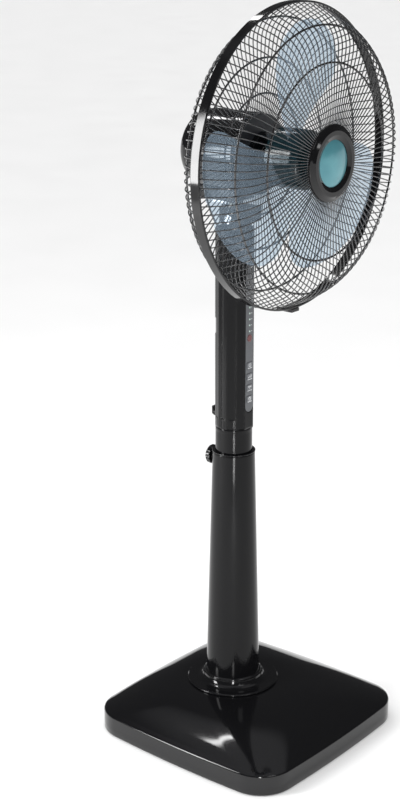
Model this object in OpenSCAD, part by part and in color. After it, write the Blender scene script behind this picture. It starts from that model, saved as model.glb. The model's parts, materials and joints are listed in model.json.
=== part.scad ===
// Pedestal fan on a square base: telescopic column, control housing with buttons,
// tilting and swinging head, wire guards and a three-blade rotor.
// Millimetres. The origin is the centre of the base on the floor, +Z is up and the fan blows along -Y.

/* [Base] */
// Side of the square base
base_side = 380; // [350:5:480]
// Radius of the base's corners
base_corner = 60; // [44:2:76]
// Height of the base's edge above the floor
base_edge_h = 36; // [30:1:44]
// Rise of the crown from the edge to the middle
base_crown = 35; // [20:1:45]
// Wall of the base shell
base_wall = 2.6; // [2:0.2:4]
// Diameter of the rubber feet
foot_d = 30; // [20:1:36]
// Diameter of the ballast disc
ballast_d = 270; // [200:5:280]
// Thickness of the ballast disc
ballast_t = 11; // [6:1:16]

/* [Column] */
// Distance of the column behind the centre of the base
col_setback = 31; // [0:1:50]
// Height of the column's collar above the floor
collar_h = 474; // [380:2:600]
// Outer diameter of the column at its foot
col_foot_d = 88; // [80:1:110]
// Outer diameter of the column at its collar
col_top_d = 68; // [68:1:80]
// Diameter of the foot flange
flange_d = 150; // [130:2:160]
// Diameter of the sliding tube
slide_d = 59; // [54:0.5:60]
// Wall of the sliding tube
slide_wall = 1.8; // [1.2:0.2:3]
// Length of sliding tube that stays in the column
slide_inside = 300; // [240:5:340]
// Length of sliding tube seen above the collar
slide_shown = 41; // [40:1:120]
// Diameter of the height knob
knob_d = 31; // [28:1:40]

/* [Control housing] */
// Height of the housing
housing_h = 319; // [300:1:420]
// Distance across the housing's corners
housing_d = 60; // [58:0.5:70]
// Wall of the housing
housing_wall = 2.2; // [1.6:0.2:3]
// Width of the control strip
panel_w = 19; // [17:0.5:20]
// Length of the control strip
panel_h = 236; // [220:2:250]
// Width of a push button
button_w = 13; // [9:0.5:14]
// Height of a push button
button_h = 10; // [7:0.5:12]
// Distance between neighbouring buttons
button_pitch = 18.3; // [16:0.1:22]
// Diameter of the receiver window
window_d = 11; // [8:0.5:14]

/* [Head] */
// Height of the fan's axis above the tilt axis
axis_rise = 100; // [98:1:120]
// Distance of the rim hoop in front of the column
rim_ahead = 110; // [104:1:130]
// Outer diameter of the motor cover
motor_d = 122; // [118:1:136]
// Length of the motor cover behind the middle of the motor
motor_tail = 50; // [48:1:80]
// Diameter of the motor shaft
shaft_d = 8; // [6:0.5:10]

/* [Guard] */
// Outer diameter of the rim hoop
guard_d = 450; // [430:5:560]
// Width of the rim hoop along the fan's axis
rim_w = 16; // [12:1:24]
// Number of radial wires in each guard
wires = 108; // [60:12:132]
// Thickness of a radial wire
wire_d = 1.8; // [1.4:0.1:2.4]
// Thickness of a guard ring
ring_d = 3; // [2.4:0.1:4]
// Depth of the front guard
front_depth = 68; // [60:1:90]
// Depth of the rear guard
rear_depth = 62; // [56:1:66]
// Diameter of the front cap
cap_d = 113; // [100:1:130]
// Diameter of the disc in the front cap
disc_d = 68; // [50:1:80]

/* [Rotor] */
// Diameter of the circle that the blade tips run on
blade_d = 400; // [340:5:410]
// Thickness of a blade
blade_t = 2.4; // [1.8:0.1:4]
// Outer diameter of the blade hub
hub_d = 88; // [72:1:96]
// Depth of the blade hub's straight part
hub_depth = 44; // [40:1:50]
// Depth of the blade hub's rounded nose
hub_nose = 20; // [12:1:22]

/* [Hidden] */
$fn = 64;
cut = 1;            // extra length that carries a cut through a face
seat = 0.1;         // gap round a seated part of the same body
run = 0.05;         // radial gap of a shaft in its bearing
free = 0.35;        // gap between parts that slide past each other

// Base
skirt_gap = 2;
edge_round = 4;
foot_h = 6;
inlet_r = 6;
plate_t = 2;
side_bow = 6;       // radius of the base's bowed sides, as a multiple of the side
arc_steps = 8;
side_steps = 4;
crown_steps = 8;
crown_power = 2.2;  // fullness of the crown
plateau_d = flange_d + 8;
plateau_z = base_edge_h + base_crown;
shell_hole_r = 31;
boss_r = 5.5;
screw_r = 2;
base_boss_x = base_side/2 - 44;
base_boss_y = 62;

// Column
spigot_r = shell_hole_r - 1;
nut_r = 46;
nut_t = 9;
slide_r = slide_d/2;
bush_r = slide_r + run;
bore_r = slide_r + 1.7;
bush_l = 52;
bush_lip = 1.6;
column_z = plateau_z + seat;
ledge_z = column_z + 6;
knob_z = collar_h - 17;
boss_reach = col_top_d/2 + 2.5;
stud_r = 4;
knob_t = 9;
knob_neck = 2;
knob_bore = 9;
slide_bottom_z = collar_h - slide_inside;
housing_z = collar_h + bush_lip + slide_shown;
spigot_len = 26;
spigot_inner_r = housing_d/2 - 5.2;

// Control housing
housing_top = housing_z + housing_h;
face_y = housing_d/2 + 0.4;
panel_t = 1.6;
panel_z = housing_z + 28;
slot_gap = 0.15;
buttons_z = panel_z + 21;
window_z = panel_z + 120;
lights_z = window_z + 11;
light_count = 5;
light_pitch = 9.5;
button_gap = 0.35;
button_rise = 1.2;
board_y = face_y - 11;
board_t = 1.6;
board_z = panel_z + 12;
board_l = 190;
switch_h = 3.4;
back_y = housing_d/2*cos(18);
housing_screw_z = [housing_z + 32, housing_top - 62];
post_r = 4;
post_end = 18;
grip_z = housing_top - 168;
grip_h = 26;
grip_depth = 1.2;

// Neck, with y and z counted from the tilt axis
tilt_ahead = 8;
tilt_z = housing_top + 16;
tilt_bolt_r = 3.5;
lug_r = 10.5;
lug_w = 30;
cheek_t = 6.2;
neck_w = lug_w + 2*free + 2*cheek_t;
neck_top = 18;
neck_roof = 6.4;
pin_r = 7;
spacer_r = 9.8;
spacer_h = 5;
crank_arm = 34;     // swing axis to crank shaft
crank_e = 16;       // crank shaft to crank pin
link_base = 14.9;   // swing axis to the link's stud
link_len = crank_arm + crank_e - link_base;
link_t = 3.4;
link_z = tilt_z + neck_top + 0.5;
link_stud_r = 2.8;
link_slack = 1.8;   // play of the link's open eye round the crank pin
crank_z = link_z + link_t + 0.8;
crank_t = 3.6;
crank_pin_r = 2.4;

// Head, with f counted forward from the middle of the rim hoop
axis_z = tilt_z + axis_rise;
motor_f = -rear_depth - 4;
cover_t = 2;
cover_split = 20 - rim_ahead;
stator_r = 47;
stator_len = 40;
stator_f = -20 - rim_ahead;
cover_end = stator_f - motor_tail;
shield_gap = 34;    // middle of the stator to the middle of an end shield
shield_t = 3;
chin_w = 50;
chin_y = [-18, crank_arm + 26];
chin_z = crank_z + crank_t + 1.4;
swing_motor_r = 17;
swing_motor_h = 13.5;
swing_motor_z = chin_z + 0.6;
bracket_z = swing_motor_z + swing_motor_h + 0.4;
bracket_t = 2.6;

// Guard
rim_r = guard_d/2;
rim_t = 3;
wire_r = wire_d/2;
rim_wire_r = rim_r - rim_t - wire_r - 0.05;
front_start = [cap_d/2 - 6, front_depth];
front_slope = 3;
front_drop = 62;
front_bend = 58;
rear_start = [57, -rear_depth];
rear_slope = 4;
rear_drop = 60;
rear_bend = 52;
rim_seat = 5;
plate_half = 2.4;
nut_sleeve_r = 20;
front_rings = [0.63*rim_r, 0.865*rim_r];
rear_rings = [0.40*rim_r, 0.63*rim_r, 0.90*rim_r];
cap_t = 7;

// Rotor
blades = 3;
blade_phase = 71;
blade_f = 1;
hub_wall = 3;
hub_back = blade_f - hub_depth/2;
hub_front = blade_f + hub_depth/2 + hub_nose;
nose_r = 20;
span_steps = 12;
chord_steps = 8;

function lerp(a, b, t) = a + (b - a)*t;

function turned(x, y, a) = [x*cos(a) - y*sin(a), x*sin(a) + y*cos(a)];

// A rounded square of points whose four sides are shallow arcs that run smoothly into its corners
function bowed_square(side, radius) =
    let (bow = side_bow*side,
         back = bow - side/2,
         c = (sqrt(2*pow(bow - radius, 2) - back*back) - back)/2,
         tangent = atan(c/(c + back)))
    [for (q = [0:90:270]) each concat(
        [for (i = [0:arc_steps])
            let (a = tangent + (90 - 2*tangent)*i/arc_steps)
            turned(c + radius*cos(a), c + radius*sin(a), q)],
        [for (i = [1:side_steps - 1])
            let (a = 90 - tangent + 2*tangent*i/side_steps)
            turned(bow*cos(a), bow*sin(a) - back, q)])];

// The same outline as a ring at height z
function square_ring(side, radius, shift, z) =
    [for (p = bowed_square(side, radius)) [p[0], p[1] + shift, z]];

// Ring of the crown, from the plateau (t = 0) to the edge (t = 1), lowered and narrowed by inset
function crown_side(t, inset) =
    lerp(plateau_d, base_side - 2*edge_round, t) - 2*inset*t;
function crown_height(t) = base_edge_h + base_crown*(1 - pow(t, crown_power));
function crown_ring(t, inset) =
    let (side = crown_side(t, inset))
    square_ring(side, lerp(side/2 - 1, base_corner - edge_round, t), col_setback*(1 - t),
        crown_height(t) - inset);

// Closes a list of equal rings into a solid that runs back to its first ring
module ring_loop(rings) {
    n = len(rings[0]);
    k = len(rings);
    points = [for (r = rings, p = r) p];
    faces = [for (i = [0:k - 1], j = [0:n - 1])
        let (a = i*n + j, b = ((i + 1) % k)*n + j, c = ((i + 1) % k)*n + (j + 1) % n, d = i*n + (j + 1) % n)
        each [[a, b, c], [a, c, d]]];
    polyhedron(points = points, faces = faces, convexity = 8);
}

module on_column(z) { translate([0, col_setback, z]) children(); }
module base_screw_places() {
    for (x = [-1, 1], y = [-1, 1])
        translate([x*base_boss_x, y*base_boss_y, 0]) children();
}

// Where the screw bosses stand on the crown, and the height of its underside there
function boss_t() = (2*base_boss_x - plateau_d)/(base_side - 2*edge_round - plateau_d);
function boss_top() = crown_height(boss_t()) - base_wall + 0.3;

// ---------------------------------------------------------------- base
module base_shell() {
    lip_z = skirt_gap;
    outer = concat(
        [square_ring(base_side, base_corner, 0, lip_z)],
        [square_ring(base_side, base_corner, 0, base_edge_h - edge_round)],
        [square_ring(base_side - 0.6*edge_round, base_corner - 0.3*edge_round, 0,
            base_edge_h - 0.4*edge_round)],
        [for (i = [crown_steps:-1:0]) crown_ring(i/crown_steps, 0)]);
    hole = [square_ring(2*shell_hole_r + 1, shell_hole_r, col_setback, plateau_z),
        square_ring(2*shell_hole_r + 1, shell_hole_r, col_setback, plateau_z - base_wall)];
    inner = concat(
        [for (i = [0:crown_steps]) crown_ring(i/crown_steps, base_wall)],
        [square_ring(base_side - 2*base_wall, base_corner - base_wall, 0,
            base_edge_h - edge_round - base_wall)],
        [square_ring(base_side - 2*base_wall, base_corner - base_wall, 0, lip_z)]);
    color("#141416") {
        difference() {
            ring_loop(concat(outer, hole, inner));
            at_inlet() translate([0, 0, -cut]) cylinder(r = inlet_r + seat, h = 12);
        }
        base_screw_places() translate([0, 0, foot_h + plate_t + 0.2])
            difference() {
                cylinder(r = boss_r, h = boss_top() - foot_h - plate_t - 0.2);
                translate([0, 0, -cut]) cylinder(r = screw_r + run, h = 18);
            }
    }
}

module base_ballast() {
    color("#4a4a4c") translate([0, 0, foot_h + plate_t]) difference() {
        cylinder(d = ballast_d, h = ballast_t, $fn = 96);
        translate([0, col_setback, -cut]) cylinder(r = 20, h = ballast_t + 2*cut);
    }
}

module base_plate() {
    side = base_side - 2*base_wall - 1;
    color("#1c1c1e") translate([0, 0, foot_h]) difference() {
        linear_extrude(plate_t) polygon(bowed_square(side, base_corner - base_wall - 0.5));
        base_screw_places() translate([0, 0, -cut]) cylinder(r = screw_r + 0.3, h = plate_t + 2*cut);
        translate([0, col_setback, -cut]) cylinder(r = 12, h = plate_t + 2*cut);
    }
}

module base_feet() {
    reach = base_side/2 - 46;
    color("#0c0c0c") for (x = [-1, 1], y = [-1, 1]) translate([x*reach, y*reach, 0])
        rotate_extrude() polygon([[0, 0], [foot_d/2 - 1, 0], [foot_d/2, 1],
            [foot_d/2, foot_h], [0, foot_h]]);
}

module base_screws() {
    color("#8c8c90") base_screw_places() {
        translate([0, 0, foot_h - 2]) cylinder(r = 2*screw_r, h = 2);
        translate([0, 0, foot_h - cut]) cylinder(r = screw_r, h = 17);
    }
}

// The cord's inlet, in the middle of the base's back
module at_inlet() { translate([0, base_side/2, 16]) rotate([90, 0, 0]) children(); }

module cord_grommet() {
    color("#0c0c0c") at_inlet() difference() {
        union() {
            cylinder(r = inlet_r, h = 10);
            translate([0, 0, base_wall + seat]) cylinder(r = inlet_r + 2, h = 3);
        }
        translate([0, 0, -cut]) cylinder(r = inlet_r - 2.5, h = 10 + 2*cut);
    }
}

// -------------------------------------------------------------- column
module column_flange() {
    bore = col_foot_d/2 + seat;
    color("#141416") on_column(plateau_z) rotate_extrude($fn = 96)
        polygon(concat([[bore, 0.1], [flange_d/2 - 1, 0.1], [flange_d/2, 1.1], [flange_d/2, 2.6],
            [flange_d/2 - 1.4, 4]],
            [for (a = [0:15:90]) [bore + 14 - 11*sin(a), 16 - 12*cos(a)]],
            [[bore, 18]]));
}

module column_nut() {
    z = plateau_z - base_wall - nut_t - seat;
    color("#3a3a3c") on_column(z) difference() {
        cylinder(r = nut_r, h = nut_t, $fn = 8);
        translate([0, 0, -cut]) cylinder(r = spigot_r + run, h = nut_t + 2*cut);
    }
}

module outer_column() {
    foot_r = col_foot_d/2;
    top_r = col_top_d/2;
    spigot_z = plateau_z - base_wall - nut_t - 3;
    color("#161617") difference() {
        union() {
            on_column(0) rotate_extrude($fn = 96) polygon([
                [spigot_r - 5, spigot_z], [spigot_r, spigot_z], [spigot_r, column_z],
                [foot_r, column_z], [foot_r, column_z + 20], [top_r, collar_h],
                [bore_r, collar_h], [bore_r, ledge_z], [spigot_r - 5, ledge_z]]);
            on_column(knob_z) rotate([-90, 0, 0]) difference() {
                cylinder(r = 12, h = boss_reach);
                translate([0, 0, -cut]) cylinder(r = slide_r + 2.6, h = 2*cut);
                rotate([90, 0, 0]) translate([0, 0, -40]) cylinder(r = bore_r, h = 80);
            }
        }
        on_column(knob_z) rotate([-90, 0, 0]) translate([0, 0, slide_r - 4])
            cylinder(r = stud_r + run, h = boss_reach);
    }
}

module column_bush() {
    color("#1a1a1b") difference() {
        on_column(collar_h) rotate_extrude($fn = 96) polygon([
            [bush_r, -bush_l], [bore_r - seat, -bush_l], [bore_r - seat, seat],
            [col_top_d/2 + 0.6, seat], [col_top_d/2 + 0.6, bush_lip - 0.5],
            [col_top_d/2, bush_lip], [bush_r, bush_lip]]);
        on_column(knob_z) rotate([-90, 0, 0]) translate([0, 0, slide_r - 6])
            cylinder(r = stud_r + 0.5, h = 20);
    }
}

module clamp_pad() {
    color("#d8d4c4") on_column(knob_z) rotate([-90, 0, 0]) translate([0, 0, slide_r + 0.3])
        cylinder(r = stud_r - 0.1, h = 2.5);
}

module height_knob() {
    grips = 12;
    r = knob_d/2;
    end = knob_neck + knob_t;
    color("#121213") on_column(knob_z) rotate([-90, 0, 0]) translate([0, 0, boss_reach + 0.5])
        difference() {
            rotate_extrude() polygon([[0, 0], [9, 0], [9, knob_neck], [r - 1, knob_neck],
                [r, knob_neck + 1], [r, end - 2], [r - 2, end], [r/2, end + 1], [0, end + 1]]);
            for (i = [0:grips - 1]) rotate(i*360/grips) translate([r + 2.6, 0, -cut])
                cylinder(r = 3.6, h = end + 3*cut);
            translate([0, 0, -cut]) cylinder(r = stud_r, h = knob_bore + cut);
        }
}

module knob_stud() {
    start = slide_r + 3.1;
    color("#b0b0b4") on_column(knob_z) rotate([-90, 0, 0]) translate([0, 0, start])
        cylinder(r = stud_r, h = boss_reach + 0.5 + knob_bore - start);
}

module inner_column() {
    inner = slide_r - slide_wall;
    color("#161617") on_column(0) rotate_extrude($fn = 96) polygon([
        [inner, slide_bottom_z], [slide_r, slide_bottom_z], [slide_r, housing_z - seat],
        [spigot_inner_r, housing_z - seat], [spigot_inner_r, housing_z + spigot_len],
        [spigot_inner_r - 2, housing_z + spigot_len], [spigot_inner_r - 2, housing_z - 4],
        [inner, housing_z - 6]]);
}

module slide_shoe() {
    color("#d8d4c4") on_column(slide_bottom_z) difference() {
        union() {
            translate([0, 0, -4]) cylinder(r = bore_r - free, h = 4 - seat);
            translate([0, 0, -4]) cylinder(r = slide_r - slide_wall - seat, h = 24);
        }
        translate([0, 0, -5]) cylinder(r = slide_r - slide_wall - 3, h = 30);
    }
}

// ----------------------------------------------------- control housing
// Outline of the housing: flat front face, then facets to the round back
function housing_points(inset) =
    let (r = housing_d/2 - inset, w = panel_w/2 + 1 - 0.35*inset, f = face_y - inset)
    concat([[-w, -f], [w, -f]],
        [for (a = [-45, -15, 15, 45, 72]) [r*cos(a), r*sin(a)]],
        [for (a = [108, 135, 165, 195, 225]) [r*cos(a), r*sin(a)]]);

module housing_half(front) {
    skirt = 16;
    difference() {
        on_column(housing_z) difference() {
            union() {
                linear_extrude(housing_h) polygon(housing_points(0));
                cylinder(r = slide_r, h = skirt, $fn = 96);
            }
            translate([0, 0, -cut]) linear_extrude(housing_h + 2*cut)
                polygon(housing_points(housing_wall));
        }
        on_column(housing_z - cut) translate([-50, front ? 0 : -100, 0])
            cube([100, 100, housing_h + 2*cut]);
        if (front) panel_outline(slot_gap, face_y - panel_t, cut + panel_t);
        if (front) panel_holes(0.5);
        if (!front) housing_screw_places()
            translate([0, 0, -4]) cylinder(r = screw_r + 0.3, h = 12);
        if (!front) for (a = [45, 135]) on_column(grip_z) rotate(a)
            translate([housing_d/2 - grip_depth, -10, 0]) cube([4, 20, grip_h]);
    }
}

// The strip's outline as a block that starts at depth y0 and is d thick, grown by gap
module panel_outline(gap, y0, d) {
    w = panel_w + 2*gap;
    on_column(0) translate([0, -y0, 0]) rotate([90, 0, 0]) linear_extrude(d) {
        translate([-w/2, panel_z + panel_w/2]) square([w, panel_h - panel_w/2 + gap]);
        translate([0, panel_z + panel_w/2]) circle(d = w);
    }
}

module button_outline(index, grow, y0, d) {
    r = 2 + grow;
    w = button_w + 2*grow;
    h = button_h + 2*grow;
    on_column(0) translate([0, -y0, buttons_z + index*button_pitch]) rotate([90, 0, 0])
        linear_extrude(d) {
            square([w, h - 2*r], center = true);
            square([w - 2*r, h], center = true);
            for (x = [-1, 1], y = [-1, 1]) translate([x*(w/2 - r), y*(h/2 - r)]) circle(r);
        }
}

module light_places() {
    for (i = [0:light_count - 1]) on_column(lights_z + i*light_pitch) rotate([90, 0, 0])
        children();
}

// Openings for the buttons, the receiver window and the lights, all the way through the front
module panel_holes(grow) {
    y0 = face_y - 6;
    for (i = [0:3]) button_outline(i, button_gap + grow, y0, 8);
    on_column(window_z) rotate([90, 0, 0]) translate([0, 0, y0])
        cylinder(d = window_d + 2*(seat + grow), h = 8);
    light_places() translate([0, 0, y0]) cylinder(r = 1.5 + seat + grow, h = 8);
}

module housing_screw_places() {
    for (z = housing_screw_z) on_column(z) translate([0, back_y, 0]) rotate([-90, 0, 0]) children();
}

module housing_front() {
    color("#161617") {
        housing_half(true);
        for (z = housing_screw_z) on_column(z) rotate([-90, 0, 0]) difference() {
            translate([0, 0, -face_y + housing_wall - 0.5])
                cylinder(r = post_r, h = post_end + face_y - housing_wall + 0.5);
            translate([0, 0, post_end - 10]) cylinder(r = screw_r, h = 12);
        }
    }
}

module housing_rear() {
    hook_z = housing_z + 6;
    hook_w = 8;
    color("#161617") {
        housing_half(false);
        on_column(hook_z) translate([hook_w/2, back_y - 1, 0]) rotate([0, -90, 0])
            linear_extrude(hook_w) polygon([[0, 0], [4, 13], [6, 14.5], [17, 14.5], [18, 13.5],
                [18, 12], [10, 11], [9, 0]]);
    }
}

module housing_screws() {
    color("#2a2a2c") housing_screw_places() {
        translate([0, 0, post_end - back_y - 9]) cylinder(r = screw_r, h = back_y - post_end + 9.5);
        translate([0, 0, seat]) cylinder(r = 3.6, h = 1.6);
    }
}

module control_panel() {
    color("#55585c") difference() {
        panel_outline(0, face_y - panel_t + seat, panel_t);
        panel_holes(0);
    }
}

module receiver_window() {
    color("#5c0d12") on_column(window_z) rotate([90, 0, 0]) translate([0, 0, face_y - 5])
        cylinder(d = window_d, h = 5.6);
}

module indicator_lights() {
    color("#d7e6dc") light_places() translate([0, 0, face_y - 5]) cylinder(r = 1.5, h = 5.3);
}

module circuit_board() {
    color("#2c6b3c") on_column(board_z) translate([-13, -board_y, 0])
        cube([26, board_t, board_l]);
}

module board_parts() {
    top = board_y;
    color("#26282c") {
        for (i = [0:3]) on_column(buttons_z + i*button_pitch) rotate([90, 0, 0])
            translate([0, 0, top + seat]) cylinder(r = 3, h = switch_h);
        on_column(lights_z + 58) translate([-7, -board_y + board_t + seat, 0]) cube([14, 9, 16]);
        on_column(lights_z + 34) translate([-6, -board_y + board_t + seat, 0]) cube([12, 3, 18]);
        on_column(window_z - 20) rotate([-90, 0, 0]) translate([4, 0, -board_y + board_t + seat])
            cylinder(r = 5, h = 12);
        on_column(window_z - 46) translate([-8, -board_y + board_t + seat, 0]) cube([16, 8, 16]);
    }
}

// A push button: cap, rim behind the strip and plunger that ends above its switch
module push_button(index) {
    plunger_y = board_y + switch_h + seat + 1.3;
    color("#3c3f43") {
        button_outline(index, 0, face_y - 4, 4 + button_rise);
        on_column(buttons_z + index*button_pitch) rotate([90, 0, 0])
            translate([0, 0, plunger_y]) cylinder(r = 2.4, h = face_y - 3.5 - plunger_y);
    }
}

module button_timer() { push_button(0); }
module button_swing() { push_button(1); }
module button_speed() { push_button(2); }
module button_power() { push_button(3); }

// ---------------------------------------------------------------- neck
module at_tilt() { translate([0, col_setback - tilt_ahead, tilt_z]) children(); }

module tilt_lug() {
    plug = 42;
    color("#1c1c1e") difference() {
        union() {
            on_column(housing_top - plug) cylinder(r = housing_d/2 - 6, h = plug);
            on_column(housing_top - 3) linear_extrude(3) polygon(housing_points(housing_wall + 0.2));
            at_tilt() {
                rotate([0, 90, 0]) cylinder(r = lug_r, h = lug_w, center = true);
                translate([-lug_w/2, -lug_r, housing_top - tilt_z - 4])
                    cube([lug_w, 2*lug_r, tilt_z - housing_top + 4]);
            }
        }
        at_tilt() rotate([0, 90, 0]) cylinder(r = tilt_bolt_r + run, h = lug_w + 2*cut, center = true);
    }
}

module tilt_bolt() {
    color("#b0b0b4") at_tilt() rotate([0, 90, 0]) {
        cylinder(r = tilt_bolt_r, h = neck_w + 12, center = true);
        translate([0, 0, -neck_w/2 - 5]) cylinder(r = 7, h = 5 - 0.05);
    }
}

module tilt_nut() {
    color("#b0b0b4") at_tilt() rotate([0, 90, 0]) translate([0, 0, neck_w/2 + 0.05]) difference() {
        cylinder(r = 6.6, h = 5, $fn = 6);
        translate([0, 0, -cut]) cylinder(r = tilt_bolt_r, h = 5 + 2*cut);
    }
}

module neck_bracket() {
    front = -27;
    back = 21;
    stud_y = tilt_ahead + link_base;
    color("#17171a") difference() {
        at_tilt() {
            for (x = [-neck_w/2, neck_w/2 - cheek_t]) translate([x, 0, 0]) rotate([90, 0, 90])
                linear_extrude(cheek_t) polygon([[front, -5], [-9, -11.5], [8, -11.5],
                    [back, -5], [back, neck_top - 2], [front, neck_top - 2]]);
            translate([-neck_w/2, front, neck_top - neck_roof]) cube([neck_w, back - front, neck_roof]);
            translate([-neck_w/2, front, -3]) cube([neck_w, 4, neck_top]);
            translate([-7, back - 2, neck_top - neck_roof]) cube([14, stud_y + 5 - back + 2, neck_roof]);
            translate([0, stud_y, neck_top - 1]) cylinder(r = link_stud_r, h = 1 + 0.5 + link_t + 0.4);
        }
        at_tilt() rotate([0, 90, 0]) cylinder(r = tilt_bolt_r + run, h = neck_w + 2*cut, center = true);
        on_column(tilt_z + neck_top - neck_roof + 2) cylinder(r = pin_r, h = neck_roof + cut);
    }
}

module pivot_pin() {
    start = tilt_z + neck_top - neck_roof + 2;
    color("#b0b0b4") on_column(start) cylinder(r = pin_r, h = bracket_z + bracket_t + 4 - start);
}

module thrust_spacer() {
    color("#d8d4c4") on_column(tilt_z + neck_top + 0.05) difference() {
        cylinder(r = spacer_r, h = spacer_h);
        translate([0, 0, -cut]) cylinder(r = pin_r + run, h = spacer_h + 2*cut);
    }
}

module pivot_clip() {
    color("#8c8c90") on_column(bracket_z + bracket_t + 0.3) difference() {
        cylinder(r = 10.5, h = 1.6);
        translate([0, 0, -cut]) cylinder(r = pin_r, h = 1.6 + 2*cut);
    }
}

module swing_link() {
    eye = link_stud_r + 2.4;
    open_r = crank_pin_r + link_slack;
    color("#a4a4a8") on_column(link_z) translate([0, link_base, 0]) difference() {
        union() {
            cylinder(r = eye - 0.6, h = link_t);
            translate([0, link_len, 0]) cylinder(r = open_r + 2.2, h = link_t);
            translate([-3, 0, 0]) cube([6, link_len, link_t]);
        }
        translate([0, 0, -cut]) cylinder(r = link_stud_r + run, h = link_t + 2*cut);
        translate([0, link_len, -cut]) cylinder(r = open_r, h = link_t + 2*cut);
    }
}

module swing_crank() {
    color("#c8b070") on_column(crank_z) translate([0, crank_arm, 0]) {
        cylinder(r = 6, h = crank_t);
        translate([-3.5, 0, 0]) cube([7, crank_e, crank_t]);
        translate([0, crank_e, 0]) cylinder(r = 4.4, h = crank_t);
        translate([0, crank_e, -link_t - 0.8]) cylinder(r = crank_pin_r, h = link_t + 1.5);
        cylinder(r = 2.5, h = swing_motor_z - crank_z + 6);
    }
}

// ---------------------------------------------------------------- head
// Local frame of the head: z runs forward along the fan's axis from the rim hoop, y is up
module head() { translate([0, col_setback - rim_ahead, axis_z]) rotate([90, 0, 0]) children(); }

module motor_bracket() {
    middle = -rim_ahead - stator_f;
    reach = shield_gap + shield_t/2;
    color("#3a3a3c") difference() {
        union() {
            on_column(tilt_z + neck_top + spacer_h + 0.15)
                cylinder(r = 12, h = bracket_z + bracket_t - tilt_z - neck_top - spacer_h - 0.15);
            on_column(bracket_z) translate([-17, middle - reach, 0]) cube([34, 2*reach, bracket_t]);
        }
        on_column(tilt_z) cylinder(r = pin_r + run, h = 80);
    }
}

module swing_motor() {
    color("#b8b8bc") on_column(swing_motor_z) translate([0, crank_arm, 0]) difference() {
        cylinder(r = swing_motor_r, h = swing_motor_h);
        translate([0, 0, -cut]) cylinder(r = 2.5 + run, h = 8);
    }
}

module chin_block(inset) {
    translate([-chin_w/2 + inset, chin_y[0] + inset, chin_z - (inset > 0 ? cut : 0)])
        cube([chin_w - 2*inset, chin_y[1] - chin_y[0] - 2*inset, 40]);
}

module motor_cover_rear() {
    r = motor_d/2;
    round_l = 34;
    flat_r = r - 22;
    profile = function (inset) concat([[0, cover_end + inset]],
        [for (a = [0:10:90])
            [flat_r - inset + (r - flat_r)*sin(a), cover_end + inset + round_l*(1 - cos(a))]],
        [[r - inset, cover_split], [0, cover_split]]);
    color("#131315") difference() {
        union() {
            head() rotate_extrude($fn = 96) polygon(profile(0));
            translate([0, col_setback, 0]) intersection() {
                chin_block(0);
                translate([-50, -50, 0]) cube([100, 50 + chin_y[1], axis_z]);
            }
        }
        head() {
            rotate_extrude($fn = 96) polygon(profile(cover_t));
            translate([0, 0, cover_split - cut]) cylinder(r = r - cover_t, h = 3*cut);
        }
        translate([0, col_setback, 0]) chin_block(cover_t);
        head() for (a = [0:30:330], ring = [12, 21, 30]) rotate(a)
            translate([ring, 0, cover_end - cut]) cylinder(r = 2.4, h = 8);
    }
}

module motor_cover_front() {
    r = motor_d/2;
    color("#131315") head() difference() {
        rotate_extrude($fn = 96) polygon([[32, motor_f], [r - 4, motor_f], [r, motor_f - 4],
            [r, cover_split + seat], [r - cover_t, cover_split + seat],
            [r - cover_t, motor_f - 4.6], [r - 4.6, motor_f - cover_t], [32, motor_f - cover_t]]);
        cover_screw_places() translate([0, 0, motor_f - 4]) cylinder(r = screw_r + 0.3, h = 8);
    }
}

module cover_screw_places() {
    for (a = [45:90:315]) rotate(a) translate([stator_r - 3, 0, 0]) children();
}

module cover_screws() {
    tip = stator_f + shield_gap - 5;
    color("#2a2a2c") head() cover_screw_places() {
        translate([0, 0, tip]) cylinder(r = screw_r, h = motor_f - tip + 0.5);
        translate([0, 0, motor_f + 0.05]) cylinder(r = 3.6, h = 1.2);
    }
}

// End shield on the stator's side dir, with its foot on the motor bracket
module end_shield(dir) {
    foot = axis_z - bracket_z - bracket_t - 0.05;
    color("#9a9a9e") head() translate([0, 0, stator_f + dir*shield_gap]) difference() {
        union() {
            cylinder(r = stator_r + 4, h = shield_t, center = true);
            cylinder(r = 12, h = 10, center = true);
            translate([-12, -foot, -shield_t/2]) cube([24, foot - 40, shield_t]);
        }
        cylinder(r = 8, h = 12, center = true);
        for (a = [0:60:300]) rotate(a) translate([28, 0, 0]) cylinder(r = 8, h = 8, center = true);
        cover_screw_places() cylinder(r = screw_r, h = 8, center = true);
    }
}

module end_shield_front() { end_shield(1); }
module end_shield_rear() { end_shield(-1); }

module shaft_bushes() {
    color("#a8863c") for (dir = [-1, 1]) head() translate([0, 0, stator_f + dir*shield_gap]) difference() {
        cylinder(r = 8 - 0.02, h = 12, center = true);
        cylinder(r = shaft_d/2 + run, h = 14, center = true);
    }
}

module stator_core() {
    color("#6c6c70") head() translate([0, 0, stator_f]) difference() {
        cylinder(r = stator_r, h = stator_len, center = true);
        cylinder(r = 24, h = stator_len + 2*cut, center = true);
        for (a = [0:45:315]) rotate(a) translate([31, 0, 0])
            cylinder(r = 5, h = stator_len + 2*cut, center = true);
    }
}

module windings() {
    color("#9c4a1c") head() for (side = [-1, 1])
        translate([0, 0, stator_f + side*(stator_len/2 + 6.05)]) difference() {
            cylinder(r = 38, h = 12 - 0.1, center = true);
            cylinder(r = 26, h = 14, center = true);
        }
}

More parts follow.
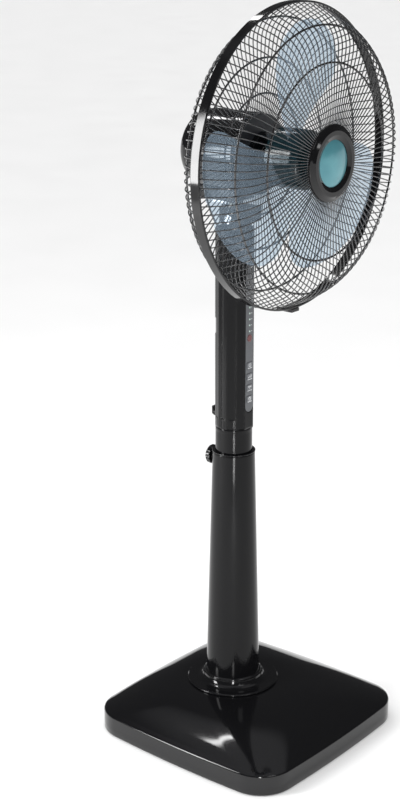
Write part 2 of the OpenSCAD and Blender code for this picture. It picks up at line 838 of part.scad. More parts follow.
// --------------------------------------------------------------- guard
// A guard wire in the plane of radius and f: straight, one bend, straight down to the rim.
// start is its inner end, slope and drop its two angles, bend its radius and dir 1 or -1 its side
module guard_wire(start, slope, drop, bend, dir) {
    end = [rim_wire_r, rim_seat];
    s = [start[0], abs(start[1])];
    // corner where the two straight lines meet
    cx = (s[1] + tan(slope)*s[0] - end[1] - tan(drop)*end[0])/(tan(slope) - tan(drop));
    cz = s[1] - tan(slope)*(cx - s[0]);
    back = bend*tan((drop - slope)/2);
    a = [cx - back*cos(slope), cz + back*sin(slope)];
    b = [cx + back*cos(drop), cz - back*sin(drop)];
    centre = [a[0] - bend*sin(slope), a[1] - bend*cos(slope)];
    mirror([0, 0, dir > 0 ? 0 : 1]) {
        rod(s, a);
        translate([centre[0], 0, centre[1]]) rotate([90, 0, 0]) rotate([0, 0, 90 - drop])
            rotate_extrude(angle = drop - slope, $fn = 64) translate([bend, 0]) circle(wire_r, $fn = 24);
        rod(end, b);
    }
}

// A round rod from p that ends a little way inside the bend at q, whose wire is a hair thicker
module rod(p, q) {
    d = q - p;
    translate([p[0], 0, p[1]]) rotate([0, atan2(d[0], d[1]), 0])
        cylinder(r = wire_r - 0.03, h = norm(d) + 0.6, $fn = 24);
}

module wire_fan() {
    for (i = [0:wires - 1]) rotate([0, 0, i*360/wires]) children();
}

module front_guard_wires() {
    color("#1a1a1b") head() wire_fan()
        guard_wire(front_start, front_slope, front_drop, front_bend, 1);
}

module rear_guard_wires() {
    color("#1a1a1b") head() wire_fan()
        guard_wire(rear_start, rear_slope, rear_drop, rear_bend, -1);
}

// Angle of a guard wire at radius r, and the depth of its centre line there
function wire_place(start, slope, drop, bend, r) =
    let (end = [rim_wire_r, rim_seat],
         s = [start[0], abs(start[1])],
         cx = (s[1] + tan(slope)*s[0] - end[1] - tan(drop)*end[0])/(tan(slope) - tan(drop)),
         cz = s[1] - tan(slope)*(cx - s[0]),
         back = bend*tan((drop - slope)/2),
         ax = cx - back*cos(slope),
         az = cz + back*sin(slope),
         bx = cx + back*cos(drop))
    r < ax ? [slope, s[1] - tan(slope)*(r - s[0])]
    : r > bx ? [drop, end[1] + tan(drop)*(end[0] - r)]
    : let (rise = r - ax + bend*sin(slope))
        [asin(rise/bend), az - bend*cos(slope) + sqrt(bend*bend - rise*rise)];

// A ring that lies on the inner side of the wires where they reach radius r
module guard_ring(start, slope, drop, bend, r, dir) {
    lift = wire_r + ring_d/2 + 0.03;
    place = wire_place(start, slope, drop, bend, r);
    color("#1a1a1b") head() translate([0, 0, dir*(place[1] - lift*cos(place[0]))])
        rotate_extrude($fn = 96) translate([r - lift*sin(place[0]), 0]) circle(d = ring_d, $fn = 24);
}

module front_guard_rings() {
    for (r = front_rings) guard_ring(front_start, front_slope, front_drop, front_bend, r, 1);
}

module rear_guard_rings() {
    for (r = rear_rings) guard_ring(rear_start, rear_slope, rear_drop, rear_bend, r, -1);
}

module rear_guard_plate() {
    color("#1c1c1e") head() translate([0, 0, -rear_depth - plate_half]) difference() {
        cylinder(r = rear_start[0] + 3, h = 2*plate_half);
        translate([0, 0, -cut]) cylinder(r = nut_sleeve_r + seat, h = 2*plate_half + 2*cut);
    }
}

module guard_nut() {
    front = -rear_depth + plate_half + 0.05;
    color("#1c1c1e") head() difference() {
        union() {
            translate([0, 0, front]) cylinder(r = 34, h = 9, $fn = 12);
            translate([0, 0, motor_f - cover_t]) cylinder(r = nut_sleeve_r, h = front - motor_f + cover_t + cut);
        }
        translate([0, 0, motor_f - cover_t - cut]) cylinder(r = 13, h = 40);
    }
}

module rim_hoop() {
    color("#0f0f10") head() rotate_extrude($fn = 128) polygon([
        [rim_r - rim_t, -rim_w/2], [rim_r - 1, -rim_w/2], [rim_r, -rim_w/2 + 1],
        [rim_r, rim_w/2 - 1], [rim_r - 1, rim_w/2], [rim_r - rim_t, rim_w/2]]);
}

module rim_latch() {
    color("#0f0f10") head() translate([-9, -rim_r - 5, -rim_w/2]) difference() {
        cube([18, 4.9, rim_w]);
        translate([9, 7, -1]) cylinder(r = 3, h = 0.5);
    }
}

module cap_ring() {
    r = cap_d/2;
    f = front_depth;
    color("#101011") head() rotate_extrude($fn = 96) polygon([
        [disc_d/2 + 0.2, f - 3.6], [r - 1, f - 3.6], [r, f - 2], [r - 1, f + 2], [r - 5, f + cap_t - 3],
        [r - 9, f + cap_t], [disc_d/2 + 7, f + cap_t], [disc_d/2 + 0.2, f + cap_t - 3]]);
}

module cap_disc() {
    r = disc_d/2;
    dome = 5;
    ball = (r*r + dome*dome)/(2*dome);
    color("#5fa8b4") head() rotate_extrude($fn = 96) polygon(concat([[0, front_depth - 3], [r, front_depth - 3]],
        [for (i = [0:8]) let (a = asin(r/ball)*(1 - i/8))
            [ball*sin(a), front_depth + 3 + dome - ball*(1 - cos(a))]]));
}

// --------------------------------------------------------------- rotor
module motor_shaft() {
    start = stator_f - shield_gap - 6;
    color("#c8c8cc") head() translate([0, 0, start])
        cylinder(d = shaft_d, h = hub_front + 10 - start);
}

module rotor_core() {
    color("#7c7c80") head() translate([0, 0, stator_f]) difference() {
        cylinder(r = 23.4, h = stator_len, center = true);
        cylinder(d = shaft_d, h = stator_len + 2*cut, center = true);
    }
}

// Blade outline: half of its width and the middle of its width as angles, by span u from 0 to 1
function blade_half(u) = 43*sqrt(1 - 0.985*pow(u, 6));
function blade_mid(u) = lerp(19, 4.5, u);
// Pitch of the blade by span
function blade_pitch(u) = lerp(18, 10, u);
function blade_point(u, v, side) =
    let (r = lerp(hub_d/2 - 1.5, blade_d/2, u),
         a = blade_mid(u) + v*blade_half(u),
         arc = r*v*blade_half(u)*PI/180,
         camber = 5*(1 - v*v)*sqrt(u),
         f = arc*tan(blade_pitch(u)) + camber + side*blade_t/2)
    [r*cos(a), r*sin(a), f];

module blade() {
    nu = span_steps;
    nv = chord_steps;
    row = nv + 1;
    sheet = (nu + 1)*row;
    us = [for (i = [0:nu]) let (t = i/nu) 1 - pow(1 - t, 1.6)];
    points = [for (side = [1, -1], i = [0:nu], j = [0:nv]) blade_point(us[i], 2*j/nv - 1, side)];
    top = [for (i = [0:nu - 1], j = [0:nv - 1]) let (a = i*row + j)
        each [[a, a + 1, a + row + 1], [a, a + row + 1, a + row]]];
    bottom = [for (i = [0:nu - 1], j = [0:nv - 1]) let (a = sheet + i*row + j)
        each [[a, a + row + 1, a + 1], [a, a + row, a + row + 1]]];
    ends = [for (i = [0, nu], j = [0:nv - 1]) let (a = i*row + j, b = a + sheet)
        each (i == 0 ? [[a, b, b + 1], [a, b + 1, a + 1]] : [[a, b + 1, b], [a, a + 1, b + 1]])];
    sides = [for (j = [0, nv], i = [0:nu - 1]) let (a = i*row + j, b = a + sheet)
        each (j == 0 ? [[a, b + row, b], [a, a + row, b + row]] : [[a, b, b + row], [a, b + row, a + row]])];
    polyhedron(points = points, faces = concat(top, bottom, ends, sides), convexity = 6);
}

// Half section of the hub's nose as points at the given angles, moved inward by inset
function hub_skin(inset, angles) =
    [for (a = angles) [nose_r - inset + (hub_d/2 - nose_r)*cos(a),
        hub_front - hub_nose - inset + hub_nose*sin(a)]];

module fan_blade() {
    boss_back = hub_back + 6;
    color([0.55, 0.78, 0.90, 0.6]) head() difference() {
        union() {
            rotate_extrude($fn = 96) polygon(concat(
                [[hub_d/2, hub_back]], hub_skin(0, [0:10:90]), [[0, hub_front]],
                [[0, hub_front - hub_wall]], hub_skin(hub_wall, [90:-10:0]),
                [[hub_d/2 - hub_wall, hub_back]]));
            translate([0, 0, boss_back]) cylinder(r = 11, h = hub_front - hub_wall/2 - boss_back);
            translate([0, 0, blade_f])
                for (i = [0:blades - 1]) rotate([0, 0, blade_phase + i*360/blades]) blade();
        }
        translate([0, 0, hub_back]) cylinder(d = shaft_d + 0.04, h = hub_front - hub_back + cut);
    }
}

module blade_nut() {
    color("#1c1c1e") head() translate([0, 0, hub_front + 0.05]) difference() {
        rotate_extrude() polygon([[0, 0], [16, 0], [16, 4], [10, 14], [7, 17], [0, 18]]);
        translate([0, 0, -cut]) cylinder(d = shaft_d, h = 10.1 + cut);
    }
}

base_shell();
base_ballast();
base_plate();
base_feet();
base_screws();
column_flange();
column_nut();
outer_column();
column_bush();
clamp_pad();
cord_grommet();
height_knob();
knob_stud();
inner_column();
slide_shoe();
housing_front();
housing_rear();
housing_screws();
control_panel();
receiver_window();
indicator_lights();
circuit_board();
board_parts();
button_power();
button_speed();
button_swing();
button_timer();
tilt_lug();
tilt_bolt();
tilt_nut();
neck_bracket();
pivot_pin();
thrust_spacer();
pivot_clip();
swing_link();
motor_bracket();
swing_motor();
swing_crank();
motor_cover_rear();
motor_cover_front();
cover_screws();
stator_core();
windings();
end_shield_front();
end_shield_rear();
shaft_bushes();
rear_guard_wires();
rear_guard_rings();
rear_guard_plate();
guard_nut();
rim_hoop();
rim_latch();
front_guard_wires();
front_guard_rings();
cap_ring();
cap_disc();
motor_shaft();
rotor_core();
fan_blade();
blade_nut();
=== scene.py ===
"""Pedestal fan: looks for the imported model. Metres, the CAD's own frame, fan facing -Y."""
import json
import math

import bpy
from mathutils import Matrix, Vector

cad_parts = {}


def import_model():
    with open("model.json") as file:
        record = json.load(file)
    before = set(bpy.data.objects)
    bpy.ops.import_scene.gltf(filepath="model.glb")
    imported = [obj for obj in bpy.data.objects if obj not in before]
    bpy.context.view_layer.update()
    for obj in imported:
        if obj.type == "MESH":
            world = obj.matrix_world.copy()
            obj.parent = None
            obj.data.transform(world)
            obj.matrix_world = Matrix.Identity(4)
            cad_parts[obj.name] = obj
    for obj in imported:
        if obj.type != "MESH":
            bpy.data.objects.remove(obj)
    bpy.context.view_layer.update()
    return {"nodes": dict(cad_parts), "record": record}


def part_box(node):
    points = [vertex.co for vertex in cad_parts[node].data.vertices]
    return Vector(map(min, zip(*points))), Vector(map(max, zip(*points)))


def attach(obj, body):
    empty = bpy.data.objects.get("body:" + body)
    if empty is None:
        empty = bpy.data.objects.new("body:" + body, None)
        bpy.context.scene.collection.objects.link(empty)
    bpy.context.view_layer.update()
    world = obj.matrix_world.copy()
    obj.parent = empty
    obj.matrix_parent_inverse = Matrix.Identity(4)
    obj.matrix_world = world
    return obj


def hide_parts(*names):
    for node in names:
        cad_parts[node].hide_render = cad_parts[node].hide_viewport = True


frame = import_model()
nodes = frame["nodes"]
MM = 0.001


# ------------------------------------------------------------------ places
def middle(name):
    low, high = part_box(name)
    return (Vector(low) + Vector(high)) / 2


def extent(name):
    low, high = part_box(name)
    return Vector(high) - Vector(low)


AXIS = middle("rim_hoop")                     # centre of the rim hoop, on the fan's axis
COLUMN = middle("inner_column")               # on the column's axis


def head_point(x, y, f):
    """Head frame to world: x right, y up, f forward of the rim hoop."""
    return AXIS + Vector((x, -f, y))


# --------------------------------------------------------------- materials
class Shader:
    """A node material with a Principled shader and helpers that hang procedural detail on it."""

    def __init__(self, name, color, roughness, **sockets):
        self.mat = bpy.data.materials.new(name)
        self.mat.use_nodes = True
        self.tree = self.mat.node_tree
        self.shader = self.tree.nodes["Principled BSDF"]
        self.coords = self.tree.nodes.new("ShaderNodeTexCoord")
        self.set("Base Color", (*color, 1.0))
        self.set("Roughness", roughness)
        for key, value in sockets.items():
            self.set(key.replace("_", " "), value)

    def set(self, socket, value):
        self.shader.inputs[socket].default_value = value

    def node(self, kind, **values):
        made = self.tree.nodes.new(kind)
        for key, value in values.items():
            if key in made.inputs:
                made.inputs[key].default_value = value
            else:
                setattr(made, key, value)
        return made

    def link(self, a, b):
        self.tree.links.new(a, b)

    def noise(self, scale, detail=3.0, stretch=(1, 1, 1)):
        place = self.node("ShaderNodeMapping")
        place.inputs["Scale"].default_value = stretch
        self.link(self.coords.outputs["Object"], place.inputs["Vector"])
        made = self.node("ShaderNodeTexNoise", Scale=scale, Detail=detail)
        self.link(place.outputs["Vector"], made.inputs["Vector"])
        return made.outputs["Fac"]

    def spread(self, fac, low, high, start=0.3, end=0.7):
        made = self.node("ShaderNodeMapRange")
        for key, value in (("From Min", start), ("From Max", end), ("To Min", low), ("To Max", high)):
            made.inputs[key].default_value = value
        self.link(fac, made.inputs["Value"])
        return made.outputs["Result"]

    def vary_roughness(self, scale, low, high, stretch=(1, 1, 1)):
        self.link(self.spread(self.noise(scale, 4.0, stretch), low, high), self.shader.inputs["Roughness"])

    def vary_color(self, scale, dark, light, stretch=(1, 1, 1)):
        blend = self.node("ShaderNodeMix", data_type="RGBA")
        blend.inputs["A"].default_value = (*dark, 1)
        blend.inputs["B"].default_value = (*light, 1)
        self.link(self.spread(self.noise(scale, 4.0, stretch), 0, 1), blend.inputs["Factor"])
        self.link(blend.outputs["Result"], self.shader.inputs["Base Color"])

    def round_edges(self, radius):
        made = self.node("ShaderNodeBevel", samples=6, Radius=radius)
        self.link(made.outputs["Normal"], self.shader.inputs["Normal"])

    def bump(self, fac, distance, strength=1.0):
        made = self.node("ShaderNodeBump", Strength=strength, Distance=distance)
        self.link(fac, made.inputs["Height"])
        if self.shader.inputs["Normal"].is_linked:
            self.link(self.shader.inputs["Normal"].links[0].from_socket, made.inputs["Normal"])
        self.link(made.outputs["Normal"], self.shader.inputs["Normal"])


def gloss_plastic(name, color, roughness=0.07, coat=0.0, edge=0.0012, shine=0.5):
    """Polished moulding: rounded edges, faint flow waves and a very fine grain."""
    s = Shader(name, color, roughness, Coat_Weight=coat, Coat_Roughness=0.04, Specular_IOR_Level=shine)
    s.round_edges(edge)
    s.vary_roughness(9.0, roughness * 0.8, roughness * 1.6)
    s.bump(s.noise(7.0, 1.0), 0.0006, 0.15)
    s.bump(s.noise(900.0, 2.0), 0.00002, 0.15)
    return s


def matte_plastic(name, color, roughness=0.5, grain=1400.0):
    s = Shader(name, color, roughness)
    s.vary_roughness(60.0, roughness * 0.85, roughness * 1.15)
    s.bump(s.noise(grain, 3.0), 0.00008, 0.45)
    return s


def metal(name, color, roughness=0.28, stretch=(1, 1, 30)):
    s = Shader(name, color, roughness, Metallic=1.0)
    s.vary_roughness(120.0, roughness * 0.7, roughness * 1.4, stretch)
    s.bump(s.noise(260.0, 3.0, stretch), 0.00004, 0.35)
    return s


def rubber(name, color):
    s = Shader(name, color, 0.75)
    s.vary_roughness(40.0, 0.65, 0.9)
    s.bump(s.noise(700.0, 3.0), 0.0001, 0.5)
    return s


def clear_tint(name, color, see_through, filter_color):
    """Clear tinted moulding: light passes straight through, tinted, and the skin is polished."""
    s = Shader(name, color, 0.1)
    s.vary_roughness(14.0, 0.08, 0.18)
    s.bump(s.noise(12.0, 1.0), 0.0005, 0.2)
    clear = s.node("ShaderNodeBsdfTransparent", Color=(*filter_color, 1))
    facing = s.node("ShaderNodeLayerWeight", Blend=0.35)
    share = s.spread(facing.outputs["Facing"], see_through, see_through * 0.55, 0.0, 1.0)
    mix = s.node("ShaderNodeMixShader")
    s.link(share, mix.inputs["Fac"])
    s.link(s.shader.outputs["BSDF"], mix.inputs[1])
    s.link(clear.outputs["BSDF"], mix.inputs[2])
    s.link(mix.outputs["Shader"], s.tree.nodes["Material Output"].inputs["Surface"])
    return s


def brushed_teal(name):
    """Satin disc with a fine turned texture round its own middle."""
    s = Shader(name, (0.07, 0.25, 0.29), 0.3, Metallic=0.35, Coat_Weight=0.6, Coat_Roughness=0.08)
    s.vary_color(30.0, (0.055, 0.21, 0.25), (0.09, 0.29, 0.33))
    place = s.node("ShaderNodeVectorMath", operation="SUBTRACT")
    s.link(s.coords.outputs["Object"], place.inputs[0])
    place.inputs[1].default_value = AXIS
    flat = s.node("ShaderNodeVectorMath", operation="MULTIPLY")
    s.link(place.outputs["Vector"], flat.inputs[0])
    flat.inputs[1].default_value = (1, 0, 1)
    length = s.node("ShaderNodeVectorMath", operation="LENGTH")
    s.link(flat.outputs["Vector"], length.inputs[0])
    rings = s.node("ShaderNodeTexNoise", Scale=2600.0, Detail=2.0)
    rings.noise_dimensions = "1D"
    s.link(length.outputs["Value"], rings.inputs["W"])
    s.bump(rings.outputs["Fac"], 0.00004, 0.4)
    return s


BLACK = (0.004, 0.004, 0.0045)
LOOKS = {
    "gloss_black": gloss_plastic("gloss_black", BLACK),
    "column_black": gloss_plastic("column_black", BLACK, edge=0.005, shine=0.2),
    "matte_black": matte_plastic("matte_black", (0.016, 0.016, 0.018), 0.42),
    "ballast_iron": matte_plastic("ballast_iron", (0.05, 0.05, 0.052), 0.7, 300.0),
    "foot_rubber": rubber("foot_rubber", (0.012, 0.012, 0.012)),
    "zinc_steel": metal("zinc_steel", (0.56, 0.56, 0.58)),
    "black_screw": metal("black_screw", (0.03, 0.03, 0.032), 0.4),
    "nylon": matte_plastic("nylon", (0.72, 0.7, 0.62), 0.45),
    "panel_grey": matte_plastic("panel_grey", (0.085, 0.09, 0.098), 0.32, 2200.0),
    "button_grey": matte_plastic("button_grey", (0.11, 0.115, 0.125), 0.34, 2200.0),
    "window_red": gloss_plastic("window_red", (0.10, 0.004, 0.006), 0.06, 0.6),
    "light_lens": gloss_plastic("light_lens", (0.5, 0.62, 0.56), 0.15, 0.3),
    "board_green": matte_plastic("board_green", (0.02, 0.13, 0.05), 0.35),
    "board_black": matte_plastic("board_black", (0.02, 0.02, 0.024), 0.4),
    "bracket_steel": matte_plastic("bracket_steel", (0.04, 0.04, 0.042), 0.4),
    "brass": metal("brass", (0.62, 0.44, 0.18), 0.3),
    "copper_wire": metal("copper_wire", (0.5, 0.16, 0.05), 0.32, (1, 1, 60)),
    "shield_aluminium": metal("shield_aluminium", (0.55, 0.55, 0.57), 0.45),
    "wire_black": gloss_plastic("wire_black", (0.011, 0.011, 0.012), 0.14, 0.6, shine=0.8),
    "cap_teal": brushed_teal("cap_teal"),
    "blade_blue": clear_tint("blade_blue", (0.46, 0.56, 0.66), 0.93, (0.86, 0.915, 0.955)),
    # Painted shade: the hub's clear blue moulding is given a dark teal, less clear tint that stands for the
    # dark motor behind it and the light that does not pass through.
    "hub_painted_shade": clear_tint("hub_painted_shade", (0.006, 0.022, 0.028), 0.30, (0.10, 0.22, 0.26)),
    # Pale white for the printed signs, and for the painted highlight line under each key.
    "print_and_highlight_white": matte_plastic("print_and_highlight_white", (0.75, 0.77, 0.78), 0.5),
}
SLOT_OF = {entry["node"]: entry["material_slot"] for entry in frame["record"]["subparts"]}


def wear(obj, look):
    obj.data.materials.clear()
    obj.data.materials.append(LOOKS[look].mat)


LOOK_OF = dict(SLOT_OF, housing_front="column_black", housing_rear="column_black",
               inner_column="column_black", outer_column="column_black")

for name, obj in nodes.items():
    for index in range(len(obj.material_slots)):
        obj.material_slots[index].material = LOOKS[LOOK_OF[name]].mat


# ---------------------------------------------------------------- geometry
def mesh_object(name, verts, faces, slot, body, angle=35, look=None):
    mesh = bpy.data.meshes.new(name)
    mesh.from_pydata([tuple(v) for v in verts], [], faces)
    mesh.validate()
    obj = bpy.data.objects.new(name, mesh)
    bpy.context.scene.collection.objects.link(obj)
    wear(obj, look or slot)
    mesh.polygons.foreach_set("use_smooth", [True] * len(mesh.polygons))
    mesh.set_sharp_from_angle(angle=math.radians(angle))
    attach(obj, body)
    return obj


def loop_faces(rings, size):
    """Quads between neighbouring rings of equal size, and from the last ring back to the first."""
    faces = []
    for i in range(rings):
        for j in range(size):
            a, b = i * size + j, (i + 1) % rings * size + j
            c, d = (i + 1) % rings * size + (j + 1) % size, i * size + (j + 1) % size
            faces.append((a, d, c, b))
    return faces


def lathe(name, profile, steps, centre, slot, body, angle=35, look=None):
    """A closed profile of (radius, forward) turned about the fan's axis through centre."""
    verts = []
    for k in range(steps):
        a = 2 * math.pi * k / steps
        for radius, forward in profile:
            verts.append(centre + Vector((radius * math.cos(a), -forward, radius * math.sin(a))))
    return mesh_object(name, verts, loop_faces(steps, len(profile)), slot, body, angle, look)


def bowed_square(side, radius, arc_steps=20, side_steps=10, bow=6.0):
    """A rounded square whose sides are shallow arcs, of radius bow times the side, as in the CAD."""
    big = bow * side
    back = big - side / 2
    c = (math.sqrt(max(2 * (big - radius) ** 2 - back * back, 0)) - back) / 2
    tangent = math.atan2(c, c + back)
    points = []
    for quarter in range(4):
        turn = Matrix.Rotation(math.pi / 2 * quarter, 2)
        for i in range(arc_steps + 1):
            a = tangent + (math.pi / 2 - 2 * tangent) * i / arc_steps
            points.append(turn @ Vector((c + radius * math.cos(a), c + radius * math.sin(a))))
        for i in range(1, side_steps):
            a = math.pi / 2 - tangent + 2 * tangent * i / side_steps
            points.append(turn @ Vector((big * math.cos(a), big * math.sin(a) - back)))
    return points


def square_ring(side, radius, shift, z):
    return [Vector((p.x, p.y + shift, z)) for p in bowed_square(side, radius)]


def base_shell():
    """The base's crowned shell, with a fine rounded edge. Sizes follow the CAD shell's box."""
    low, high = (Vector(v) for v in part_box("base_shell"))
    side = high.x - low.x
    plateau_z = high.z
    plateau = extent("column_flange").x + 8 * MM
    setback = middle("column_flange").y
    corner, edge, wall, round_r, hole = 60 * MM, 36 * MM, 2.6 * MM, 4 * MM, 31 * MM
    crown_steps, round_steps, fullness = 40, 8, 2.2

    def crown(t, inset):
        ring_side = plateau + (side - 2 * round_r - plateau) * t - 2 * inset * t
        inner = ring_side / 2 - 1 * MM
        radius = inner + (corner - round_r - inner) * t
        z = edge + (plateau_z - edge) * (1 - t ** fullness) - inset
        return square_ring(ring_side, radius, setback * (1 - t), z)

    rings = [square_ring(side - 0.6 * MM, corner, 0, low.z),
             square_ring(side, corner, 0, low.z + 0.6 * MM),
             square_ring(side, corner, 0, low.z + 12 * MM)]
    slope = math.atan((plateau_z - edge) * fullness / ((side - 2 * round_r - plateau) / 2))
    for k in range(round_steps + 1):
        a = (math.pi / 2 - slope) * k / round_steps
        cut = round_r * (1 - math.cos(a))
        rings.append(square_ring(side - 2 * cut, corner - cut, 0, edge - round_r + round_r * math.sin(a)))
    rings += [crown(k / crown_steps, 0) for k in range(crown_steps - 1, -1, -1)]
    for z in (plateau_z, plateau_z - wall):
        rings.append(square_ring(hole * 2 + 1 * MM, hole, setback, z))
    rings += [crown(k / crown_steps, wall) for k in range(crown_steps)]
    rings.append(square_ring(side - 2 * wall, corner - wall, 0, edge - round_r - wall))
    rings.append(square_ring(side - 2 * wall, corner - wall, 0, low.z))
    verts = [v for ring in rings for v in ring]
    shell = mesh_object("base_shell_skin", verts, loop_faces(len(rings), len(rings[0])),
                        "gloss_black", "base", angle=50)
    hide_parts("base_shell")


def blade_surface(u, v, side, hub_r, tip_r, thick):
    """Radius, angle and forward place on the blade; span u 0 to 1, chord v -1 to 1, side 1 front or -1 back.

    The outline, pitch and camber are those of the CAD blade; its edges are thinned here.
    """
    widest, root_middle, sweep = 43, 19, 14.5
    root_pitch, twist, camber = 18, 8, 5 * MM
    chord_rim, tip_rim, thinnest = 0.06, 0.04, 0.25
    half = widest * math.sqrt(1 - 0.985 * u ** 6)
    r = hub_r + (tip_r - hub_r) * u
    a = math.radians(root_middle - sweep * u + v * half)
    arc = r * v * math.radians(half)
    rise = camber * (1 - v * v) * math.sqrt(u)
    edge = min(1.0, (1 - abs(v)) / chord_rim + thinnest, (1 - u) / tip_rim + thinnest)
    f = arc * math.tan(math.radians(root_pitch - twist * u)) + rise + side * thick / 2 * edge
    return r, a, f


def blade(name, phase, plane, hub_r, tip_r, thick):
    """One blade as a closed sheet of quads, with its edges thinned."""
    nu, nv = 44, 30
    verts = []
    for side in (1, -1):
        for i in range(nu + 1):
            u = 1 - (1 - i / nu) ** 1.6
            for j in range(nv + 1):
                r, a, f = blade_surface(u, 2 * j / nv - 1, side, hub_r - 1.5 * MM, tip_r, thick)
                verts.append(head_point(r * math.cos(a + phase), r * math.sin(a + phase), plane + f))
    row, sheet = nv + 1, (nu + 1) * (nv + 1)
    faces = []
    for i in range(nu):
        for j in range(nv):
            a = i * row + j
            faces.append((a, a + row, a + row + 1, a + 1))
            faces.append((a + sheet, a + sheet + 1, a + sheet + row + 1, a + sheet + row))
    for j in range(nv):
        a, b = nu * row + j, j
        faces.append((a, a + sheet, a + sheet + 1, a + 1))
        faces.append((b, b + 1, b + sheet + 1, b + sheet))
    for i in range(nu):
        a, b = i * row, i * row + nv
        faces.append((a, a + sheet, a + sheet + row, a + row))
        faces.append((b, b + row, b + sheet + row, b + sheet))
    return mesh_object(name, verts, faces, "blade_blue", "rotor", angle=60)


def fan_blade():
    """Hub and three blades of one clear moulding, finer than the CAD's facets."""
    front = AXIS.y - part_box("fan_blade")[0][1]
    hub_r, tip_r, nose_r, nose, wall = 44 * MM, 200 * MM, 20 * MM, 20 * MM, 3 * MM
    back, plane, thick, bore_r = -21 * MM, 1 * MM, 2.4 * MM, 4 * MM
    blades, first, nose_steps = 3, 71, 12
    made = []
    for k in range(blades):
        phase = math.radians(first + 360 / blades * k)
        made.append(blade("blade_%d" % (k + 1), phase, plane, hub_r, tip_r, thick))

    def skin(inset, steps):
        turns = [math.pi / 2 * k / nose_steps for k in steps]
        return [(nose_r - inset + (hub_r - nose_r) * math.cos(a),
                 front - nose - inset + nose * math.sin(a)) for a in turns]

    profile = [(hub_r, back)] + skin(0, range(nose_steps + 1)) + [(bore_r, front), (bore_r, front - wall)]
    profile += skin(wall, range(nose_steps, -1, -1)) + [(hub_r - wall, back)]
    # The hub wears the darkened tint (painted shade), not the blades' clear blue.
    made.append(lathe("blade_hub", profile, 96, AXIS, "blade_blue", "rotor", look="hub_painted_shade"))
    for obj in made:
        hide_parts("fan_blade")


def stroke(points, width):
    """A flat ribbon of the given width along points, as (verts, faces) in the plane of a face."""
    verts, faces = [], []
    count = len(points)
    for i, (x, z) in enumerate(points):
        before, after = points[max(i - 1, 0)], points[min(i + 1, count - 1)]
        along = Vector((after[0] - before[0], after[1] - before[1])).normalized() * width / 2
        verts += [(x - along.y, z + along.x), (x + along.y, z - along.x)]
        if i:
            faces.append((2 * i - 2, 2 * i - 1, 2 * i + 1, 2 * i))
    return verts, faces


def print_and_highlight_marks(name, strokes, node, body):
    """White print on a face that looks to -Y, and on the keys a painted highlight line; strokes are (points,
    width) in mm round its middle.
    """
    print_height = 0.05 * MM
    face = middle(node)
    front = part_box(node)[0][1] - print_height
    verts, faces = [], []
    for points, width in strokes:
        flat, quads = stroke(points, width)
        faces += [tuple(index + len(verts) for index in quad) for quad in quads]
        verts += [(face.x + x * MM, front, face.z + z * MM) for x, z in flat]
    mesh_object(name, verts, faces, SLOT_OF[node], body, look="print_and_highlight_white")


def arc(radius, start, stop, z=0.0, steps=18):
    """Points on an arc of a radius round (0, z), between two angles in degrees."""
    turns = [math.radians(start + (stop - start) * k / steps) for k in range(steps + 1)]
    return [(radius * math.cos(a), z + radius * math.sin(a)) for a in turns]


def key_marks():
    """Generic signs on the four keys: ring and bar, bars, arrows, clock; under each sign a pale line is a
    painted highlight of the key's lower lip.
    """
    thin, line, bar = 0.6, 0.7, 1.1
    # Painted highlight: a pale line along each key's lower lip, standing for the light caught by its lower
    # bevel.
    lip_highlight = ([(-5.2, -4.1), (5.2, -4.1)], line)
    right_head = [(3.2, 3.2), (3.4, 1.2), (1.4, 1.4)]
    left_head = [(-x, z) for x, z in right_head]
    signs = {
        "power": [(arc(2.5, 125, 415, z=0.7), line), ([(0, 1.0), (0, 4.0)], line)],
        "speed": [([(x, -1.6), (x, top)], bar) for x, top in ((-3, 0.2), (0, 1.8), (3, 3.4))],
        "swing": [(arc(4.2, 40, 140, z=-1.4), line), (right_head, thin), (left_head, thin),
                  ([(0, -1.8), (0, 0.9)], line)],
        "timer": [(arc(2.7, 0, 360, z=0.9), line), ([(0, 2.5), (0, 0.8), (1.4, 0.1)], thin)],
    }
    for key, strokes in signs.items():
        # Each key's sign mesh also carries its painted lip highlight.
        print_and_highlight_marks(key + "_sign", strokes + [lip_highlight], "button_" + key, key + "_key")


def light_marks():
    """A short pale dash beside each of the five indicator lights."""
    light_d, start, stop, width = 3.0, 3.4, 5.6, 0.7
    pitch = (extent("indicator_lights").z / MM - light_d) / 4
    dashes = [([(start, k * pitch), (stop, k * pitch)], width) for k in range(-2, 3)]
    print_and_highlight_marks("light_signs", dashes, "indicator_lights", "mast")


base_shell()
fan_blade()
key_marks()
light_marks()


# -------------------------------------------------------- floor and lights
def floor():
    """A plain pale floor, far larger than the fan."""
    size = 60.0
    corners = [(-size, -size, 0), (size, -size, 0), (size, size, 0), (-size, size, 0)]
    mesh = bpy.data.meshes.new("floor")
    mesh.from_pydata(corners, [], [(0, 1, 2, 3)])
    obj = bpy.data.objects.new("floor", mesh)
    bpy.context.scene.collection.objects.link(obj)
    pale = Shader("floor_pale", (0.9, 0.9, 0.9), 0.7)
    pale.vary_roughness(3.0, 0.65, 0.8)
    mesh.materials.append(pale.mat)


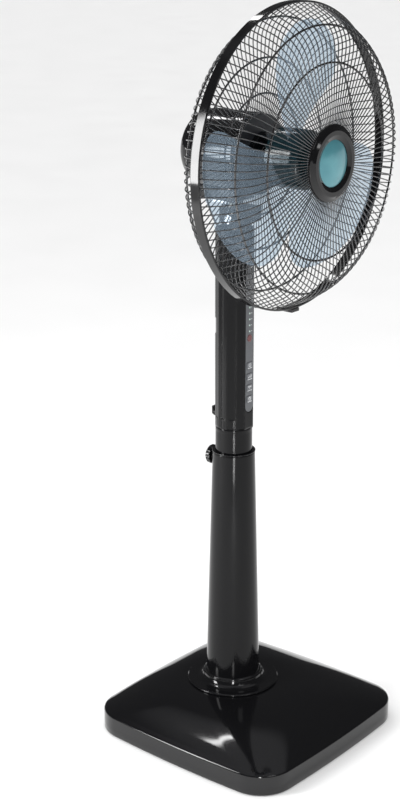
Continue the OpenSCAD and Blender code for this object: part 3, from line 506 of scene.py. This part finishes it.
def world():
    """White all round for soft light; polished surfaces mirror a dark studio with a bright ceiling."""
    stops = ((0.0, 0.07), (0.76, 0.07), (0.82, 0.34), (1.0, 0.42))      # place up the sky, level
    blue_cast = 1.03
    made = bpy.data.worlds.new("studio")
    bpy.context.scene.world = made
    made.use_nodes = True
    tree = made.node_tree
    white = tree.nodes["Background"]
    white.inputs["Color"].default_value = (1.0, 1.0, 1.0, 1.0)
    white.inputs["Strength"].default_value = 1.05
    coords = tree.nodes.new("ShaderNodeTexCoord")
    split = tree.nodes.new("ShaderNodeSeparateXYZ")
    ramp = tree.nodes.new("ShaderNodeValToRGB")
    while len(ramp.color_ramp.elements) < len(stops):
        ramp.color_ramp.elements.new(0.5)
    for element, (place, level) in zip(ramp.color_ramp.elements, stops):
        element.position = place
        element.color = (level, level, level * blue_cast, 1)
    room = tree.nodes.new("ShaderNodeBackground")
    path = tree.nodes.new("ShaderNodeLightPath")
    mix = tree.nodes.new("ShaderNodeMixShader")
    tree.links.new(coords.outputs["Generated"], split.inputs["Vector"])
    tree.links.new(split.outputs["Z"], ramp.inputs["Fac"])
    tree.links.new(ramp.outputs["Color"], room.inputs["Color"])
    tree.links.new(path.outputs["Is Glossy Ray"], mix.inputs["Fac"])
    tree.links.new(white.outputs["Background"], mix.inputs[1])
    tree.links.new(room.outputs["Background"], mix.inputs[2])
    tree.links.new(mix.outputs["Shader"], tree.nodes["World Output"].inputs["Surface"])


def softbox(name, seen_from, direction, distance, size, radiance):
    """A softbox seen from a point in a direction; its power follows from its radiance and area."""
    place = Vector(seen_from) + Vector(direction).normalized() * distance
    data = bpy.data.lights.new(name, "AREA")
    data.shape = "RECTANGLE"
    data.size, data.size_y = size
    data.energy = radiance * math.pi * size[0] * size[1]
    obj = bpy.data.objects.new(name, data)
    bpy.context.scene.collection.objects.link(obj)
    obj.location = place
    obj.rotation_euler = (Vector(seen_from) - place).to_track_quat("-Z", "Y").to_euler()


floor()
world()
softbox("side_softbox", (-0.225, -0.08, 1.02), (-0.76, 0.61, 0.12), 2.2, (0.45, 1.7), 18)
softbox("top_strip", (-0.149, -0.071, 0.056), (0.17, 0.46, 0.87), 2.4, (1.3, 0.07), 20)
softbox("front_strip", (-0.02, 0.0, 0.70), (-0.75, -0.62, -0.28), 1.3, (0.10, 0.6), 26)
softbox("head_softbox", (0.0, -0.10, 0.95), (-0.20, -0.80, 0.56), 2.4, (0.9, 0.6), 5)
bpy.context.scene.view_settings.view_transform = "Standard"


# ------------------------------------------------------------------ camera
def camera():
    """A long lens in front and to the left of the fan, above its axis."""
    yaw, pitch, roll = math.radians(49.97), math.radians(-18.09), math.radians(-0.12)
    place = Vector((-1.844, -1.485 + COLUMN.y, 1.330))
    sensor_width, focal_length, reach = 36.0, 141.642, 60
    data = bpy.data.cameras.new("camera")
    data.sensor_fit = "HORIZONTAL"
    data.sensor_width = sensor_width
    data.lens = focal_length
    data.shift_x, data.shift_y = -0.007625, -0.004
    data.clip_end = reach
    obj = bpy.data.objects.new("camera", data)
    bpy.context.scene.collection.objects.link(obj)
    ahead = Vector((math.sin(yaw) * math.cos(pitch), math.cos(yaw) * math.cos(pitch), math.sin(pitch)))
    obj.location = place
    aim = ahead.to_track_quat("-Z", "Y").to_matrix()
    obj.rotation_euler = (aim @ Matrix.Rotation(roll, 3, "Z")).to_euler()
    bpy.context.scene.camera = obj


camera()
